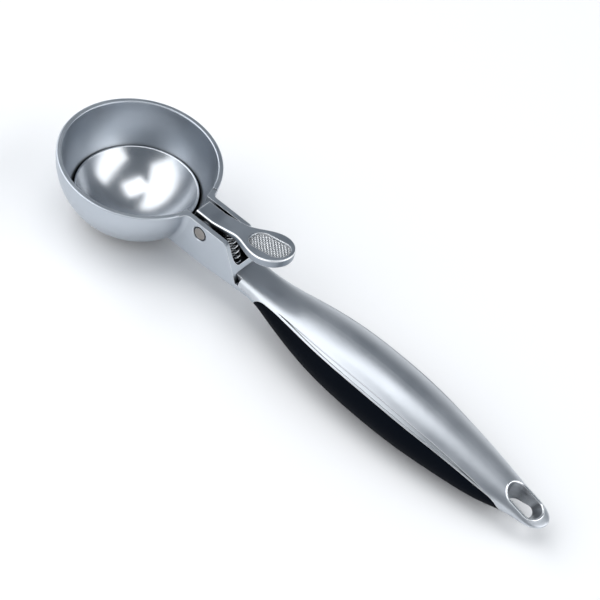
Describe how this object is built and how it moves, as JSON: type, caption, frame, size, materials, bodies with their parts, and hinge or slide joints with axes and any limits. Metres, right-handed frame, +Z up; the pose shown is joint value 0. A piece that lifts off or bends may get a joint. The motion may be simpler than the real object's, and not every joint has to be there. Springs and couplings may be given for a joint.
{
  "type": "lever ice cream scoop",
  "caption": "Ice cream scoop with a hemispherical cast bowl, a sprung thumb lever that tips an ejector dish, and a two-part handle with a hanging eye",
  "frame": {"origin": "Middle of the footprint, at the height of the lowest point of the bowl", "axes": "+X runs from the bowl to the tail of the handle, +Z is up out of the open bowl, +Y completes a right-handed set across the scoop"},
  "size_m": [0.2293, 0.062, 0.039],
  "materials": {
    "cast_zinc": "satin die-cast zinc alloy",
    "lever_zinc": "satin die-cast zinc alloy, darker top",
    "shell_zinc": "satin die-cast zinc alloy",
    "dish_steel": "polished pressed stainless sheet",
    "spring_steel": "drawn stainless spring wire",
    "pin_steel": "turned steel",
    "grip_plastic": "matte moulded plastic, near-black navy"
  },
  "bodies": {
    "frame": {"bowl_and_neck": "cast_zinc", "pivot_pin": "pin_steel", "return_spring": "spring_steel", "handle_shell": "shell_zinc", "grip_insert": "grip_plastic", "shell_screws": "pin_steel"},
    "lever": {"thumb_lever": "lever_zinc", "ejector_dish": "dish_steel", "dish_rivets": "pin_steel"}
  },
  "joints": [
    {"name": "lever_pivot", "type": "hinge", "parent": "frame", "child": "lever", "pos_m": [-0.04645, 0, 0.026], "axis": [0, 1, 0], "range_deg": [0, 23], "stiffness_Nm_per_rad": 0.7, "springref_deg": -14.32, "deforming": ["return_spring"]}
  ]
}
